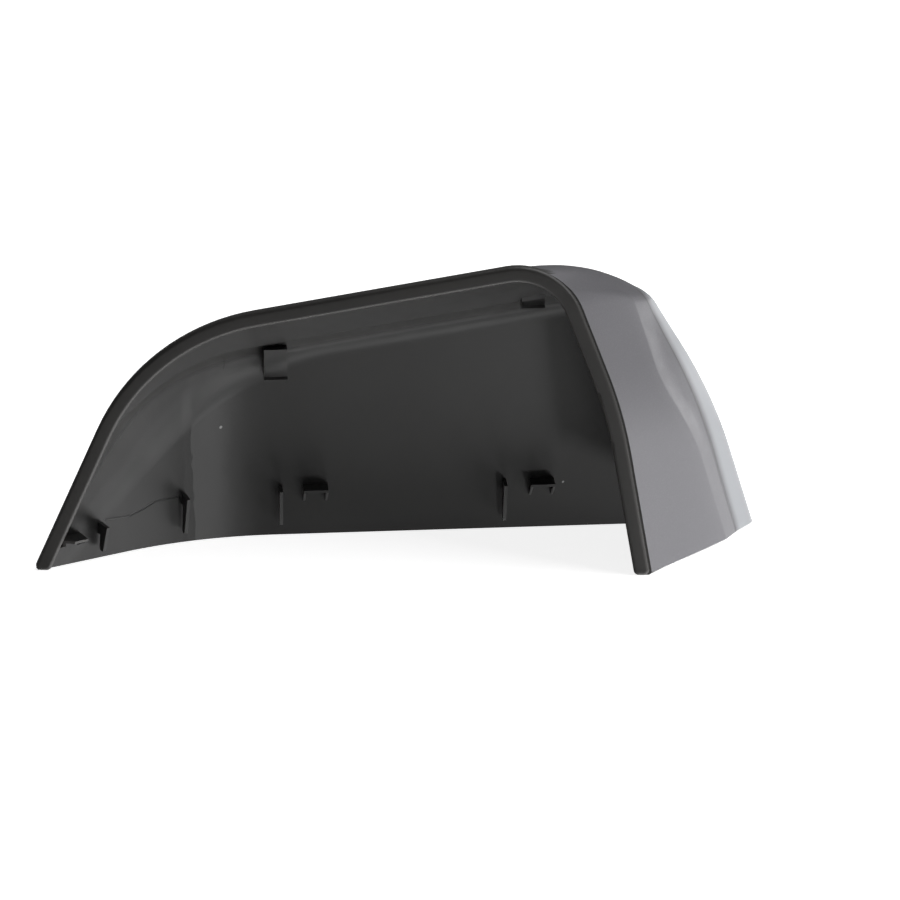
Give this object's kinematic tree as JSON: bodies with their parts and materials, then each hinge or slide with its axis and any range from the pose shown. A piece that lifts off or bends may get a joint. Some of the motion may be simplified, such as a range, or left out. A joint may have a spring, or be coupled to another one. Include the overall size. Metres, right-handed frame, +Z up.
{
  "type": "wing mirror cover",
  "caption": "Moulded wing mirror cover with a thick rim round its open back, a creased flared side, and hooks, brackets and snap seats inside.",
  "frame": {"origin": "under the centre of the cover's box, at the height of its lower edges", "axes": "+X from the shallow end of the opening to the deep, boxy end, +Y forward, away from the opening, +Z up from the lower edges to the top"},
  "size_m": [0.2672, 0.0692, 0.1162],
  "materials": {
    "moulding": "dark charcoal moulded plastic with a soft sheen",
    "paint": "grey satin paint on the outer skin"
  },
  "bodies": {
    "root": {"mirror_cover": "moulding"}
  },
  "joints": []
}
